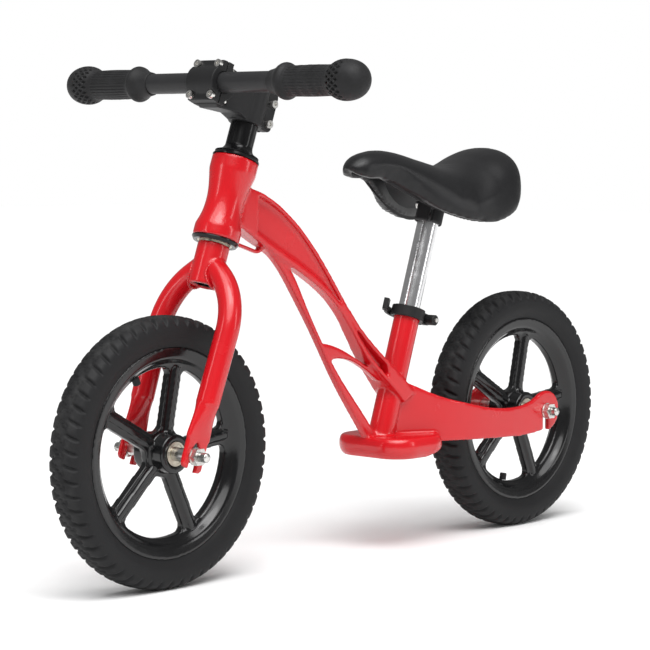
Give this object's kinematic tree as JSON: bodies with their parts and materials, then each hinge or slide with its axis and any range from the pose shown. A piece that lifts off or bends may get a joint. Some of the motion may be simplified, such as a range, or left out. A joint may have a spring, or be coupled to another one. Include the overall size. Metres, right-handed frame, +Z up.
{
  "type": "balance bike",
  "caption": "Child's balance bike with a cast red frame with foot plate, spoked wheels with foam tyres, clamped handlebar and padded saddle on a quick-release post.",
  "frame": {"origin": "on the ground, midway between the two tyre contacts, in the bike's middle plane", "axes": "+X forwards (the way it rolls), +Y the rider's left, +Z up"},
  "size_m": [0.89, 0.441, 0.5595],
  "materials": {
    "red_paint": "gloss enamel",
    "black_metal": "satin black",
    "black_bar_paint": "gloss black",
    "zinc_steel": "bright zinc plate",
    "bearing_steel": "ground steel",
    "chrome": "polished",
    "grip_rubber": "soft matt rubber",
    "foam_tyre": "matt foam",
    "wheel_plastic": "gloss black",
    "base_plastic": "moulded grain",
    "saddle_cover": "satin coated fabric"
  },
  "bodies": {
    "frame_body": {"frame": "red_paint", "lower_bearing_cup": "black_metal", "upper_bearing_cup": "black_metal", "lower_ball_ring": "bearing_steel", "upper_ball_ring": "bearing_steel", "seat_clamp_collar": "black_metal", "seat_clamp_skewer": "zinc_steel", "seat_clamp_nut": "black_metal", "seat_clamp_washer": "zinc_steel", "seat_clamp_cam_pin": "zinc_steel", "rear_axle": "zinc_steel", "rear_axle_nuts": "zinc_steel", "rear_axle_washers": "zinc_steel", "rear_axle_spacers": "zinc_steel"},
    "clamp_lever_body": {"seat_clamp_lever": "black_metal"},
    "saddle_body": {"seat_post": "chrome", "saddle_base": "base_plastic", "saddle_cushion": "saddle_cover", "saddle_clamp_bolt": "zinc_steel"},
    "steering_body": {"fork": "red_paint", "steerer_tube": "black_bar_paint", "crown_race": "bearing_steel", "upper_race": "bearing_steel", "headset_top_cover": "black_metal", "stem": "black_metal", "stem_faceplate": "black_metal", "faceplate_bolts": "zinc_steel", "stem_pinch_bolts": "zinc_steel", "stem_top_cap": "black_metal", "top_cap_bolt": "zinc_steel", "star_nut": "zinc_steel", "handlebar": "black_bar_paint", "grip_left": "grip_rubber", "grip_right": "grip_rubber", "front_axle": "zinc_steel", "front_axle_nuts": "zinc_steel", "front_axle_washers": "zinc_steel", "front_axle_spacers": "zinc_steel"},
    "front_wheel_body": {"front_wheel": "wheel_plastic", "front_tyre": "foam_tyre", "front_tyre_plug": "base_plastic", "front_hub_bearings": "bearing_steel", "front_bearing_spacer": "bearing_steel"},
    "rear_wheel_body": {"rear_wheel": "wheel_plastic", "rear_tyre": "foam_tyre", "rear_tyre_plug": "base_plastic", "rear_hub_bearings": "bearing_steel", "rear_bearing_spacer": "bearing_steel"}
  },
  "joints": [
    {"name": "steering", "type": "hinge", "parent": "frame_body", "child": "steering_body", "pos_m": [0.3, 0, 0.145], "axis": [-0.3404, 0, 0.9403], "range_deg": [-60, 60]},
    {"name": "front_wheel_spin", "type": "hinge", "parent": "steering_body", "child": "front_wheel_body", "pos_m": [0.3, 0, 0.145], "axis": [0, 1, 0], "continuous": true},
    {"name": "rear_wheel_spin", "type": "hinge", "parent": "frame_body", "child": "rear_wheel_body", "pos_m": [-0.3, 0, 0.145], "axis": [0, 1, 0], "continuous": true},
    {"name": "seat_height", "type": "slide", "parent": "frame_body", "child": "saddle_body", "axis": [-0.3206, 0, 0.9472], "range_m": [-0.06, 0.03]},
    {"name": "clamp_lever", "type": "hinge", "parent": "frame_body", "child": "clamp_lever_body", "pos_m": [-0.12419, -0.0166, 0.26359], "axis": [-0.3206, 0, 0.9472], "range_deg": [-140, 0]}
  ]
}
